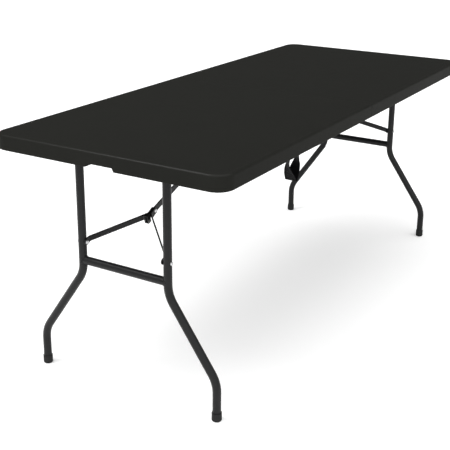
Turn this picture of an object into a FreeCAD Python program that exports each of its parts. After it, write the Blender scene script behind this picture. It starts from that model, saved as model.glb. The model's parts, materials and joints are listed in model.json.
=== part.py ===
"""Centre-folding utility table with a moulded top and two folding tubular leg frames.

Frame: X along the table, Y across it, Z up, origin on the floor under the table's centre.
The near half is modelled in place, and the far half is the same set of pieces turned half a
turn about Z. Every size lives in the "Sizes" sheet, in millimetres.
"""
import math
import os

import FreeCAD
import Part
import Sketcher
from FreeCAD import Placement, Rotation, Vector

X_AXIS = Vector(1, 0, 0)
Y_AXIS = Vector(0, 1, 0)
Z_AXIS = Vector(0, 0, 1)

DRIVING = [
    ("table_length", 1800),
    ("table_width", 750),
    ("table_height", 730),
    ("rim_depth", 45),
    ("rim_width", 28),
    ("fold_rim_width", 52),
    ("plate_thickness", 8),
    ("corner_radius", 47),
    ("inner_corner_radius", 30),
    ("top_edge_radius", 8),
    ("foot_edge_radius", 3),
    ("fold_edge_radius", 1.5),
    ("fold_gap", 0.1),
    ("notch_half_width", 42),
    ("notch_depth", 11),
    ("notch_slope", 9),
    ("groove_half_width", 22),
    ("groove_depth", 2.5),
    ("groove_end_room", 16),
    ("leg_inset", 95),
    ("pivot_drop", 38),
    ("leg_radius", 12),
    ("pivot_tube_radius", 11),
    ("crossbar_radius", 12),
    ("tube_wall", 1.5),
    ("pivot_tube_half_length", 262),
    ("leg_top_spread", 145),
    ("leg_foot_spread", 300),
    ("leg_bend_radius", 90),
    ("upper_corner_height", 334),
    ("lower_corner_height", 113),
    ("crossbar_height", 371),
    ("foot_cap_radius", 14),
    ("foot_cap_height", 25),
    ("foot_cap_floor", 5),
    ("foot_cap_rounding", 4),
    ("running_clearance", 0.08),
    ("block_spread", 230),
    ("block_half_width", 12),
    ("block_wall", 5),
    ("block_ear_reach", 32),
    ("block_ear_thickness", 5),
    ("block_screw_reach", 25),
    ("screw_radius", 2),
    ("screw_head_radius", 4.2),
    ("screw_head_height", 2.2),
    ("screw_bite", 4),
    ("bar_height", 17),
    ("bar_thickness", 4),
    ("layer_gap", 0.3),
    ("fork_bolt_height", 427),
    ("fork_slope", 28),
    ("fork_tab_gap", 0.5),
    ("fork_tab_length", 14),
    ("fork_tongue_length", 20),
    ("fork_bend_radius", 8),
    ("pin_radius", 3),
    ("rivet_head_radius", 5.5),
    ("rivet_head_height", 2),
    ("bolt_head_radius", 6),
    ("bolt_head_height", 3.5),
    ("strut_reach", 700),
    ("strut_headroom", 0.5),
    ("strut_tail_length", 46),
    ("ring_start", 29),
    ("ring_length", 13),
    ("ring_wall", 2),
    ("ring_inner_half_width", 5),
    ("ring_sag", 4.5),
    ("bracket_plate_thickness", 2.5),
    ("bracket_half_length", 22),
    ("bracket_half_width", 19),
    ("bracket_screw_reach", 15),
    ("ear_thickness", 2.5),
    ("hinge_spread", 240),
    ("hinge_half_width", 30),
    ("hinge_reach", 44),
    ("hinge_drop", 5),
    ("hinge_plate_thickness", 2.5),
    ("knuckle_radius", 4.7),
    ("knuckle_gap", 0.3),
    ("hinge_pin_radius", 2.5),
    ("hinge_screw_reach", 30),
    ("hinge_screw_spread", 18),
    ("strap_offset", 450),
    ("strap_half_spacing", 26),
    ("strap_tab_half_width", 19),
    ("strap_tab_height", 26),
    ("strap_webbing", 2),
    ("strap_band_section", 3),
    ("strap_loop_width", 38),
    ("strap_fall", 95),
    ("strap_fold_half_width", 9),
    ("strap_join_drop", 62),
    ("strap_plate_thickness", 1.5),
    ("strap_plate_height", 14),
    ("strap_relief_length", 108),
    ("strap_relief_depth", 2),
]

DERIVED = [
    ("rim_bottom", "=table_height - rim_depth"),
    ("plate_bottom", "=table_height - plate_thickness"),
    ("groove_ceiling", "=plate_bottom + groove_depth"),
    ("half_length", "=table_length / 2 - fold_gap / 2"),
    ("pivot_height", "=table_height - pivot_drop"),
    ("leg_plane", "=-table_length / 2 + leg_inset"),
    ("strut_fold_height", "=groove_ceiling - bracket_plate_thickness - strut_headroom"
                          " - bar_height / 2"),
    ("anchor_x", "=leg_plane + strut_reach"),
    # The fork's length is the one that lets the brace lie flat under the top when the legs
    # are folded: a quadratic in the fork's length, from the closed triangle at both ends.
    ("fold_rise", "=strut_fold_height - pivot_height"),
    ("brace_rise", "=strut_fold_height - fork_bolt_height"),
    ("folded_bolt_reach", "=pivot_height - fork_bolt_height"),
    ("folded_span", "=strut_reach - folded_bolt_reach"),
    ("brace_project", "=strut_reach * cos(fork_slope * 1 deg) + brace_rise * sin(fork_slope * 1 deg)"),
    ("brace_balance", "=strut_reach * strut_reach + brace_rise * brace_rise"
                      " - folded_span * folded_span + fold_rise * fold_rise"),
    ("quad_first", "=4 * (brace_project * brace_project - folded_span * folded_span)"),
    ("quad_second", "=4 * brace_balance * brace_project"),
    ("quad_third", "=brace_balance * brace_balance"
                   " + 4 * folded_span * folded_span * fold_rise * fold_rise"),
    ("fork_length", "=(quad_second - sqrt(quad_second * quad_second"
                    " - 4 * quad_first * quad_third)) / (2 * quad_first)"),
    ("joint_x", "=leg_plane + fork_length * cos(fork_slope * 1 deg)"),
    ("joint_height", "=fork_bolt_height + fork_length * sin(fork_slope * 1 deg)"),
    ("strut_length", "=sqrt((anchor_x - joint_x) * (anchor_x - joint_x)"
                     " + (strut_fold_height - joint_height) * (strut_fold_height - joint_height))"),
    ("folded_joint_x", "=anchor_x - strut_length"),
    ("groove_start_x", "=folded_joint_x - strut_tail_length - groove_end_room"),
    ("groove_end_x", "=anchor_x + bracket_half_length + groove_end_room / 2"),
    ("fork_layer", "=bar_thickness / 2 + layer_gap"),
    ("fork_tab_inner", "=leg_top_spread - leg_radius - fork_tab_gap - bar_thickness"),
    ("hinge_axis_height", "=rim_bottom - hinge_drop"),
    ("strap_face", "=-table_width / 2 + rim_width"),
]

doc = FreeCAD.newDocument("FoldingTable")
sheet = doc.addObject("Spreadsheet::Sheet", "Sizes")
for row, (alias, content) in enumerate(DRIVING + DERIVED, start=1):
    sheet.set("A%d" % row, alias)
    sheet.set("B%d" % row, str(content))
    sheet.setAlias("B%d" % row, alias)
doc.recompute()

HALF_TURN = {
    "near": Placement(),
    "far": Placement(Vector(0, 0, 0), Rotation(Z_AXIS, 180)),
}
SIDES = {"left": 1, "right": -1}
ALIASES = {alias for alias, content in DRIVING + DERIVED}
KNUCKLES = 3
NEAR_KNUCKLES = (0, 2)
TOLERANCE = 0.01
finished = []


def size(alias):
    """Reads one value of the sheet, in millimetres."""
    value = sheet.get(alias)
    return float(getattr(value, "Value", value))


def refer(expression):
    """Turns words that are aliases into references to the sheet."""
    words = []
    word = ""
    for letter in str(expression) + " ":
        if letter.isalnum() or letter == "_":
            word += letter
            continue
        known = word in ALIASES
        words.append("Sizes." + word if known else word)
        words.append(letter)
        word = ""
    return "".join(words).strip()


def bind(piece, **properties):
    """Binds an object's properties to expressions of sheet values."""
    for name, expression in properties.items():
        piece.setExpression(name, refer(expression))


def move_to(piece, x, y, z, rotation=None):
    """Places an object at three expressions, after an optional fixed turn."""
    if rotation is not None:
        piece.Placement = Placement(Vector(0, 0, 0), rotation)
    piece.setExpression("Placement.Base.x", refer(x))
    piece.setExpression("Placement.Base.y", refer(y))
    piece.setExpression("Placement.Base.z", refer(z))


def block(name, x, y, z, length, width, height):
    """A box from its low corner and its three sizes, all expressions."""
    piece = doc.addObject("Part::Box", name)
    bind(piece, Length=length, Width=width, Height=height)
    move_to(piece, x, y, z)
    return piece


def rod(name, x, y, z, radius, length, axis="z"):
    """A cylinder that starts at a point and runs along +X, +Y or +Z."""
    turns = {
        "x": Rotation(Y_AXIS, 90),
        "y": Rotation(X_AXIS, -90),
        "z": Rotation(),
    }
    piece = doc.addObject("Part::Cylinder", name)
    bind(piece, Radius=radius, Height=length)
    move_to(piece, x, y, z, turns[axis])
    return piece


def fuse(name, pieces):
    """Joins objects into one."""
    joined = doc.addObject("Part::MultiFuse", name)
    joined.Shapes = pieces
    joined.Refine = True
    return joined


def cut(name, base, tools):
    """Cuts a list of tools from a base."""
    tool = tools[0] if len(tools) == 1 else fuse(name + "_tools", tools)
    result = doc.addObject("Part::Cut", name)
    result.Base = base
    result.Tool = tool
    return result


def group(name, pieces):
    """Keeps separate solids together in one sub-part."""
    bundle = doc.addObject("Part::Compound", name)
    bundle.Links = pieces
    return bundle


def finish(piece, label, placement):
    """Names a sub-part, puts it in its place and lists it for writing."""
    piece.Label = label
    piece.Placement = placement
    finished.append(piece)
    return piece


def computed(label, shape, placement):
    """A sub-part whose shape is worked out in code from the sheet's values."""
    piece = doc.addObject("Part::Feature", label + "_shape")
    piece.Shape = shape
    return finish(piece, label, placement)


def rounded_path(points, radius):
    """Straight runs through points, joined by tangent arcs of one radius."""
    edges = []
    start = points[0]
    for before, corner, after in zip(points, points[1:], points[2:]):
        incoming = (corner - before).normalize()
        outgoing = (after - corner).normalize()
        turn = incoming.getAngle(outgoing)
        setback = radius * math.tan(turn / 2)
        arc_start = corner - incoming * setback
        arc_end = corner + outgoing * setback
        inward = (outgoing - incoming).normalize()
        arc_middle = corner + inward * (radius / math.cos(turn / 2) - radius)
        edges.append(Part.LineSegment(start, arc_start).toShape())
        edges.append(Part.Arc(arc_start, arc_middle, arc_end).toShape())
        start = arc_end
    edges.append(Part.LineSegment(start, points[-1]).toShape())
    return Part.Wire(edges)


def swept(path, profile):
    """A solid swept along a planar path from a closed profile at its start."""
    return path.makePipeShell([profile], True, False)


def edge_names(shape, keep):
    """Names of the edges that a test on each edge keeps."""
    return ["Edge%d" % (n + 1) for n, edge in enumerate(shape.Edges) if keep(edge)]


def origin_plane(body, role):
    """A body's own origin plane."""
    for feature in body.Origin.OriginFeatures:
        if feature.Role == role:
            return feature


def rectangle_sketch(body, name, level, x_low, x_high, y_low, y_high):
    """A rectangle on a level above the body's XY plane, with its sides bound to the sheet."""
    sketch = body.newObject("Sketcher::SketchObject", name)
    sketch.AttachmentSupport = [(origin_plane(body, "XY_Plane"), "")]
    sketch.MapMode = "FlatFace"
    sketch.setExpression("AttachmentOffset.Base.z", refer(level))
    # A rough rectangle on the right side of both axes, which the bound distances then size.
    corners = [Vector(-2, -1, 0), Vector(-1, -1, 0), Vector(-1, 1, 0), Vector(-2, 1, 0)]
    for first, second in zip(corners, corners[1:] + corners[:1]):
        sketch.addGeometry(Part.LineSegment(first, second))
    for side in range(4):
        sketch.addConstraint(Sketcher.Constraint("Coincident", side, 2, (side + 1) % 4, 1))
        direction = "Horizontal" if side % 2 == 0 else "Vertical"
        sketch.addConstraint(Sketcher.Constraint(direction, side))
    limits = [("DistanceX", 0, x_low), ("DistanceY", 0, y_low),
              ("DistanceX", 2, x_high), ("DistanceY", 2, y_high)]
    origin, first_point, rough_distance = -1, 1, -1
    for kind, side, expression in limits:
        distance = Sketcher.Constraint(kind, origin, first_point, side, first_point,
                                       rough_distance)
        number = sketch.addConstraint(distance)
        sketch.setExpression("Constraints[%d]" % number, refer(expression))
    return sketch


def pocket(body, name, sketch, depth):
    """Cuts a sketch upwards into a body, and checks that it cut something."""
    before = body.Shape.Volume
    feature = body.newObject("PartDesign::Pocket", name)
    feature.Profile = sketch
    feature.Reversed = True
    feature.setExpression("Length", refer(depth))
    doc.recompute()
    if not feature.Shape.Volume < before:
        raise RuntimeError(name + " cut nothing")
    return feature


def rounded(body, name, base, keep, radius):
    """Rounds the edges of a body's last feature that a test keeps."""
    feature = body.newObject("PartDesign::Fillet", name)
    feature.Base = (base, edge_names(base.Shape, keep))
    feature.setExpression("Radius", refer(radius))
    doc.recompute()
    return feature


def moulded_top(half, drillings):
    """One half of the moulded top: a plate with a deep rim, hollow underneath."""
    body = doc.addObject("PartDesign::Body", half + "_top_body")
    tag = half + "_"
    outline = rectangle_sketch(body, tag + "outline", "rim_bottom", "-half_length - fold_gap / 2",
                               "-fold_gap / 2", "-table_width / 2", "table_width / 2")
    pad = body.newObject("PartDesign::Pad", tag + "pad")
    pad.Profile = outline
    pad.setExpression("Length", refer("rim_depth"))
    doc.recompute()

    end_x = -size("table_length") / 2
    fold_x = -size("fold_gap") / 2
    top = size("table_height")
    bottom = size("rim_bottom")

    def is_outer_corner(edge):
        box = edge.BoundBox
        return box.ZLength > TOLERANCE and abs(box.Center.x - end_x) < TOLERANCE

    def is_top_rim(edge):
        box = edge.BoundBox
        return box.ZMin > top - TOLERANCE and box.XMin < fold_x - TOLERANCE

    def is_fold_edge(edge):
        box = edge.BoundBox
        return box.ZMin > top - size("top_edge_radius") - TOLERANCE and box.XMin > fold_x - TOLERANCE

    def is_bottom_rim(edge):
        box = edge.BoundBox
        return box.ZMax < bottom + TOLERANCE and box.XMin < fold_x - TOLERANCE

    corners = rounded(body, tag + "corners", pad, is_outer_corner, "corner_radius")
    edges = rounded(body, tag + "top_edges", corners, is_top_rim, "top_edge_radius")
    fold = rounded(body, tag + "fold_edge", edges, is_fold_edge, "fold_edge_radius")
    rounded(body, tag + "bottom_edges", fold, is_bottom_rim, "foot_edge_radius")

    hollow = rectangle_sketch(body, tag + "hollow_outline", "rim_bottom",
                              "-table_length / 2 + rim_width", "-fold_rim_width",
                              "-table_width / 2 + rim_width", "table_width / 2 - rim_width")
    hollowed = pocket(body, tag + "hollow", hollow, "rim_depth - plate_thickness")
    inner_end = end_x + size("rim_width")
    inner_fold = -size("fold_rim_width")

    def is_hollow_corner(edge):
        box = edge.BoundBox
        at_end = abs(box.Center.x - inner_end) < TOLERANCE
        at_fold = abs(box.Center.x - inner_fold) < TOLERANCE
        return box.ZLength > TOLERANCE and box.XLength < TOLERANCE and (at_end or at_fold)

    rounded(body, tag + "hollow_corners", hollowed, is_hollow_corner, "inner_corner_radius")
    groove = rectangle_sketch(body, tag + "groove_outline", "plate_bottom", "groove_start_x",
                              "groove_end_x", "-groove_half_width", "groove_half_width")
    pocket(body, tag + "groove", groove, "groove_depth")
    return cut(tag + "drilled_top", body, [notch(half)] + drillings)


def notch(half):
    """The hand notch in the rim at the table's end, with sloping ends."""
    wedge = doc.addObject("Part::Wedge", half + "_notch")
    bind(wedge, Xmin="0", Xmax="rim_width + 2 * notch_slope", X2min="0",
         X2max="rim_width + 2 * notch_slope")
    bind(wedge, Ymin="-notch_slope", Ymax="notch_depth", Zmin="-notch_half_width - notch_slope",
         Zmax="notch_half_width + notch_slope", Z2min="-notch_half_width",
         Z2max="notch_half_width")
    move_to(wedge, "-table_length / 2 - notch_slope", "0", "rim_bottom", Rotation(X_AXIS, 90))
    return wedge


def screw_from_below(name, x, y, seat):
    """A pan-head screw driven upwards, with its head under the seat."""
    head = rod(name + "_head", x, y, seat + " - screw_head_height", "screw_head_radius",
               "screw_head_height")
    shank = rod(name + "_shank", x, y, seat, "screw_radius", "plate_bottom + screw_bite - ("
                + seat + ")")
    return fuse(name, [head, shank])


def screw_drilling(name, x, y, seat):
    """The hole that a screw's shank fills, above its seat."""
    return rod(name, x, y, seat, "screw_radius", "plate_bottom + screw_bite - (" + seat + ")")


def signed(sign, alias):
    """An expression with its sign written out."""
    return alias if sign > 0 else "-(" + alias + ")"


def pivot_blocks(half, placement):
    """Moulded bearing blocks that hold the leg frame's pivot tube under the plate."""
    drillings = []
    screws = []
    seat = "plate_bottom - block_ear_thickness"
    for side, sign in SIDES.items():
        tag = half + "_block_" + side
        centre = signed(sign, "block_spread")
        low = centre + " - block_half_width"
        outer = "pivot_tube_radius + running_clearance + block_wall"
        width = "2 * block_half_width"
        cheek = block(tag + "_cheek", "leg_plane - (" + outer + ")", low, "pivot_height",
                      "2 * (" + outer + ")", width, "plate_bottom - pivot_height")
        nose = rod(tag + "_nose", "leg_plane", low, "pivot_height", outer, width, "y")
        ears = block(tag + "_ears", "leg_plane - block_ear_reach", low, seat,
                     "2 * block_ear_reach", width, "block_ear_thickness")
        bore = rod(tag + "_bore", "leg_plane", low, "pivot_height",
                   "pivot_tube_radius + running_clearance", width, "y")
        holes = [bore]
        for end, reach in (("outer", -1), ("inner", 1)):
            x = "leg_plane + " + signed(reach, "block_screw_reach")
            holes.append(screw_drilling(tag + "_hole_" + end, x, centre, seat))
            drillings.append(screw_drilling(tag + "_drill_" + end, x, centre, "plate_bottom"))
            screws.append(screw_from_below(tag + "_screw_" + end, x, centre, seat))
        solid = fuse(tag + "_solid", [cheek, nose, ears])
        finish(cut(tag + "_cut", solid, holes), half + "_pivot_block_" + side, placement)
    finish(group(half + "_block_screw_set", screws), half + "_pivot_screws", placement)
    return drillings


def strut_anchor(half, placement):
    """The folded steel bracket, its pin and its screws where the brace meets the plate."""
    tag = half + "_bracket"
    plate_low = "groove_ceiling - bracket_plate_thickness"
    plate = block(tag + "_plate", "anchor_x - bracket_half_length", "-bracket_half_width",
                  plate_low, "2 * bracket_half_length", "2 * bracket_half_width",
                  "bracket_plate_thickness")
    solids = [plate]
    for side, sign in SIDES.items():
        low = "fork_layer" if sign > 0 else "-fork_layer - ear_thickness"
        solids.append(block(tag + "_web_" + side, "anchor_x - bar_height / 2", low,
                            "strut_fold_height", "bar_height", "ear_thickness",
                            plate_low + " - strut_fold_height"))
        solids.append(rod(tag + "_ear_" + side, "anchor_x", low, "strut_fold_height",
                          "bar_height / 2", "ear_thickness", "y"))
    reach = "fork_layer + ear_thickness"
    holes = [rod(tag + "_bore", "anchor_x", "-(" + reach + ")", "strut_fold_height",
                 "pin_radius", "2 * (" + reach + ")", "y")]
    drillings = []
    screws = []
    for side, sign in SIDES.items():
        y = signed(sign, "bracket_screw_reach")
        for end, step in (("outer", -1), ("inner", 1)):
            x = "anchor_x + " + signed(step, "bracket_screw_reach")
            name = tag + "_" + side + "_" + end
            holes.append(screw_drilling(name + "_hole", x, y, plate_low))
            drillings.append(screw_drilling(name + "_drill", x, y, "plate_bottom"))
            screws.append(screw_from_below(name + "_screw", x, y, plate_low))
    solid = fuse(tag + "_solid", solids)
    finish(cut(tag + "_cut", solid, holes), half + "_strut_bracket", placement)
    finish(group(tag + "_screw_set", screws), half + "_bracket_screws", placement)
    pin = [rod(tag + "_pin_shank", "anchor_x", "-(" + reach + ")", "strut_fold_height",
               "pin_radius", "2 * (" + reach + ")", "y"),
           rod(tag + "_pin_head", "anchor_x", reach, "strut_fold_height", "rivet_head_radius",
               "rivet_head_height", "y"),
           rod(tag + "_pin_tail", "anchor_x", "-(" + reach + ") - rivet_head_height",
               "strut_fold_height", "rivet_head_radius", "rivet_head_height", "y")]
    finish(fuse(tag + "_pin", pin), half + "_strut_pin", placement)
    return drillings


def hinge_leaves(half, placement):
    """One leaf of each centre hinge: two outer knuckles on the near half, one on the far."""
    drillings = []
    screws = []
    plate_low = "rim_bottom - hinge_plate_thickness"
    share = "2 * hinge_half_width / %d" % KNUCKLES
    clear = "knuckle_radius + 2 * knuckle_gap"
    inset = "knuckle_gap / 2"
    shank_length = "hinge_plate_thickness + 2 * screw_bite"
    for side, sign in SIDES.items():
        tag = half + "_hinge_" + side
        centre = signed(sign, "hinge_spread")
        low = centre + " - hinge_half_width"
        plate = block(tag + "_plate", "-hinge_reach", low, plate_low, "hinge_reach - fold_gap / 2",
                      "2 * hinge_half_width", "hinge_plate_thickness")
        solids = [plate]
        reliefs = []
        for slot in range(KNUCKLES):
            start = low + " + %d * " % slot + share
            if (slot in NEAR_KNUCKLES) == (half == "near"):
                solids.append(rod(tag + "_knuckle_%d" % slot, "0", start + " + " + inset,
                                  "hinge_axis_height", "knuckle_radius",
                                  share + " - 2 * " + inset, "y"))
                solids.append(block(tag + "_root_%d" % slot, "-knuckle_radius",
                                    start + " + " + inset, "hinge_axis_height",
                                    "knuckle_radius - fold_gap / 2", share + " - 2 * " + inset,
                                    plate_low + " - hinge_axis_height"))
            else:
                reliefs.append(block(tag + "_relief_%d" % slot, "-(" + clear + ")",
                                     start + " - knuckle_gap / 2", plate_low, clear,
                                     share + " + knuckle_gap", "hinge_plate_thickness"))
        bore = "hinge_pin_radius" if half == "near" else "hinge_pin_radius + running_clearance"
        reliefs.append(rod(tag + "_bore", "0", low, "hinge_axis_height", bore,
                           "2 * hinge_half_width", "y"))
        for end, step in (("front", -1), ("back", 1)):
            y = centre + " + " + signed(step, "hinge_screw_spread")
            name = tag + "_" + end
            reliefs.append(rod(name + "_hole", "-hinge_screw_reach", y, plate_low,
                               "screw_radius", shank_length))
            drillings.append(rod(name + "_drill", "-hinge_screw_reach", y, "rim_bottom",
                                 "screw_radius", "2 * screw_bite"))
            head = rod(name + "_head", "-hinge_screw_reach", y,
                       plate_low + " - screw_head_height", "screw_head_radius",
                       "screw_head_height")
            shank = rod(name + "_shank", "-hinge_screw_reach", y, plate_low, "screw_radius",
                        shank_length)
            screws.append(fuse(name + "_screw", [head, shank]))
        leaf = cut(tag + "_leaf", fuse(tag + "_solid", solids), reliefs)
        finish(leaf, half + "_hinge_leaf_" + side, placement)
    finish(group(half + "_hinge_screw_set", screws), half + "_hinge_screws", placement)
    return drillings


def hinge_pins():
    """The two steel pins of the centre hinges, fixed in the near leaves."""
    for side, sign in SIDES.items():
        low = signed(sign, "hinge_spread") + " - hinge_half_width"
        pin = rod("hinge_pin_" + side + "_rod", "0", low, "hinge_axis_height",
                  "hinge_pin_radius", "2 * hinge_half_width", "y")
        finish(group("hinge_pin_" + side + "_set", [pin]), "hinge_pin_" + side, Placement())


def carry_strap():
    """The webbing handle, its two plates and screws, inside the near half's long rim."""
    thick = size("strap_webbing")
    face = size("strap_face")
    middle = -size("strap_offset")
    spacing = size("strap_half_spacing")
    tab = size("strap_tab_half_width")
    rim = size("rim_bottom")
    tab_top = rim + size("strap_tab_height") + size("strap_relief_depth")
    join = rim - size("strap_join_drop")
    lowest = rim - size("strap_fall")
    fold = size("strap_fold_half_width")
    tab_low = tab_top - size("strap_tab_height")
    lean = size("strap_band_section")

    def outline(sign):
        points = [(spacing, tab_low), (spacing, tab_low + lean), (spacing + lean, tab_low + lean),
                  (spacing + lean, tab_low), (fold, join), (fold, lowest), (0, lowest),
                  (0, join)]
        corners = [Vector(middle + sign * x, face, z) for x, z in points]
        return Part.Face(Part.makePolygon(corners + corners[:1]))

    loops = [outline(sign).extrude(Y_AXIS * size("strap_loop_width")) for sign in (1, -1)]
    tabs = []
    for sign in (1, -1):
        corner = Vector(middle + sign * spacing - tab, face, tab_low)
        tabs.append(Part.makeBox(2 * tab, thick, size("strap_tab_height"), corner))
    webbing = loops[0].multiFuse(loops[1:] + tabs).removeSplitter()

    drillings = []
    plates = []
    screws = []
    level = tab_top - size("strap_tab_height") / 2 + size("screw_head_radius")
    bite = 2 * size("screw_bite")
    holes = []
    for sign in (1, -1):
        x = middle + sign * spacing
        start = Vector(x, face - bite, level)
        reach = bite + thick + size("strap_plate_thickness")
        shank = Part.makeCylinder(size("screw_radius"), reach, start, Y_AXIS)
        head_start = start + Y_AXIS * reach
        head = Part.makeCylinder(size("screw_head_radius"), size("screw_head_height"),
                                 head_start, Y_AXIS)
        screws.append(shank.fuse(head))
        holes.append(shank)
        corner = Vector(x - tab, face + thick, level - size("strap_plate_height") / 2)
        plate = Part.makeBox(2 * tab, size("strap_plate_thickness"), size("strap_plate_height"),
                             corner)
        plates.append(plate.cut(shank))
    for n, shank in enumerate(holes):
        drill = doc.addObject("Part::Feature", "strap_drill_%d" % n)
        drill.Shape = shank
        drillings.append(drill)
    computed("carry_strap", webbing.cut(holes[0]).cut(holes[1]), Placement())
    computed("strap_plates", Part.makeCompound(plates), Placement())
    computed("strap_screws", Part.makeCompound(screws), Placement())
    relief = block("strap_relief", "-strap_offset - strap_relief_length / 2",
                   "-table_width / 2 - rim_width", "rim_bottom - strap_relief_depth",
                   "strap_relief_length", "2 * rim_width", "2 * strap_relief_depth")
    return drillings + [relief]


def leg_shape(sign):
    """A leg tube: straight from the pivot, splayed below the crossbar, upright at the foot."""
    plane = size("leg_plane")
    top = sign * size("leg_top_spread")
    foot = sign * size("leg_foot_spread")
    points = [
        Vector(plane, top, size("pivot_height")),
        Vector(plane, top, size("upper_corner_height")),
        Vector(plane, foot, size("lower_corner_height")),
        Vector(plane, foot, size("foot_cap_floor")),
    ]
    path = rounded_path(points, size("leg_bend_radius"))
    radii = (size("leg_radius"), size("leg_radius") - size("tube_wall"))
    outer, inner = [swept(path, Part.Wire(Part.makeCircle(r, points[0], Z_AXIS * -1)))
                    for r in radii]
    length = 2 * size("leg_radius") + size("bar_thickness")
    bolt_start = Vector(plane, top - length, size("fork_bolt_height"))
    bolt = Part.makeCylinder(size("pin_radius"), 2 * length, bolt_start, Y_AXIS)
    pivot_start = Vector(plane, top - length, size("pivot_height"))
    pivot = Part.makeCylinder(size("pivot_tube_radius"), 2 * length, pivot_start, Y_AXIS)
    above = Part.makeBox(4 * length, 4 * length, length,
                         Vector(plane - 2 * length, top - 2 * length, size("pivot_height")))
    return outer.cut(inner).cut(pivot).cut(above).cut(bolt), outer


def hollow_bar(name, half_length, level, radius, trims):
    """A straight tube across the leg frame, trimmed where it meets the legs."""
    start = "-(" + half_length + ")"
    outer = rod(name + "_outer", "leg_plane", start, level, radius, "2 * (" + half_length + ")", "y")
    inner = rod(name + "_inner", "leg_plane", start, level, radius + " - tube_wall",
                "2 * (" + half_length + ")", "y")
    return cut(name + "_tube", outer, [inner] + trims)


def leg_frame(half, placement):
    """The folding leg frame: two bent legs, pivot tube, crossbar, foot caps, bolts, nuts."""
    tag = half + "_frame"
    trims = []
    for side, sign in SIDES.items():
        tube, solid_leg = leg_shape(sign)
        computed(half + "_leg_" + side, tube, placement)
        trim = doc.addObject("Part::Feature", tag + "_trim_" + side)
        trim.Shape = solid_leg
        trims.append(trim)
        foot_cap(half, side, sign, placement)
    pivot = hollow_bar(tag + "_pivot", "pivot_tube_half_length", "pivot_height",
                       "pivot_tube_radius", [])
    finish(pivot, half + "_pivot_tube", placement)
    crossbar = hollow_bar(tag + "_crossbar", "leg_top_spread", "crossbar_height",
                          "crossbar_radius", trims)
    finish(crossbar, half + "_crossbar", placement)

    bolts = []
    nuts = []
    level = "fork_bolt_height"
    head_seat = "fork_tab_inner"
    nut_seat = "leg_top_spread + leg_radius"
    for side, sign in SIDES.items():
        parts = [
            ("shank", head_seat, "pin_radius", nut_seat + " + rivet_head_height - fork_tab_inner"),
            ("head", head_seat + " - bolt_head_height", "bolt_head_radius", "bolt_head_height"),
        ]
        solids = []
        for name, start, radius, length in parts:
            low = start if sign > 0 else "-(" + start + " + " + length + ")"
            solids.append(rod(tag + "_bolt_" + name + "_" + side, "leg_plane", low, level, radius,
                              length, "y"))
        bolts.append(fuse(tag + "_bolt_" + side, solids))
        low = nut_seat if sign > 0 else "-(" + nut_seat + " + bolt_head_height)"
        nut = rod(tag + "_nut_" + side, "leg_plane", low, level, "rivet_head_radius",
                  "bolt_head_height", "y")
        low = nut_seat if sign > 0 else "-(" + nut_seat + " + rivet_head_height)"
        bore = rod(tag + "_nut_bore_" + side, "leg_plane", low, level, "pin_radius",
                   "rivet_head_height", "y")
        nuts.append(cut(tag + "_nut_cut_" + side, nut, [bore]))
    finish(group(tag + "_bolt_set", bolts), half + "_fork_bolts", placement)
    finish(group(tag + "_nut_set", nuts), half + "_fork_nuts", placement)


def foot_cap(half, side, sign, placement):
    """A rubber cap over a leg's end, with a thick floor and a rounded foot."""
    tag = half + "_cap_" + side
    y = signed(sign, "leg_foot_spread")
    outer = rod(tag + "_outer", "leg_plane", y, "0", "foot_cap_radius", "foot_cap_height")
    doc.recompute()
    rounding = doc.addObject("Part::Fillet", tag + "_rounded")
    rounding.Base = outer
    radius = size("foot_cap_rounding")
    lowest = [n + 1 for n, edge in enumerate(outer.Shape.Edges) if edge.BoundBox.ZMax < radius / 2]
    rounding.Edges = [(n, radius, radius) for n in lowest]
    socket = rod(tag + "_socket", "leg_plane", y, "foot_cap_floor", "leg_radius",
                 "foot_cap_height - foot_cap_floor")
    finish(cut(tag + "_cut", rounding, [socket]), half + "_foot_cap_" + side, placement)


def bar_outline(start, end):
    """A flat bar's side view, with round ends, as a solid that spans all layers."""
    radius = size("bar_height") / 2
    reach = size("leg_top_spread")
    body = Part.makeBox(end - start, 2 * reach, 2 * radius, Vector(start, -reach, -radius))
    caps = [Part.makeCylinder(radius, 2 * reach, Vector(x, -reach, 0), Y_AXIS)
            for x in (start, end)]
    return body.multiFuse(caps).removeSplitter()


def fork_bar(sign):
    """One arm of the fork: a flat bar on edge from a leg's tab to the brace's tongue."""
    radius = size("bar_height") / 2
    half_thick = size("bar_thickness") / 2
    tab_y = sign * (size("fork_tab_inner") + half_thick)
    tongue_y = sign * (size("fork_layer") + half_thick)
    length = size("fork_length")
    points = [
        Vector(-length - radius, tab_y, 0),
        Vector(-length + size("fork_tab_length"), tab_y, 0),
        Vector(-size("fork_tongue_length"), tongue_y, 0),
        Vector(radius, tongue_y, 0),
    ]
    start = points[0]
    corners = [start + Vector(0, half_thick * a, radius * b)
               for a, b in ((1, 1), (-1, 1), (-1, -1), (1, -1))]
    profile = Part.makePolygon(corners + corners[:1])
    arm = swept(rounded_path(points, size("fork_bend_radius")), profile)
    arm = arm.common(bar_outline(-length, 0))
    hole_radius = size("pin_radius") + size("running_clearance")
    tab_hole = Part.makeCylinder(hole_radius, size("table_width"),
                                 Vector(-length, -size("table_width") / 2, 0), Y_AXIS)
    rivet_hole = Part.makeCylinder(size("pin_radius"), size("table_width"),
                                   Vector(0, -size("table_width") / 2, 0), Y_AXIS)
    return arm.cut(tab_hole).cut(rivet_hole)


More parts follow.
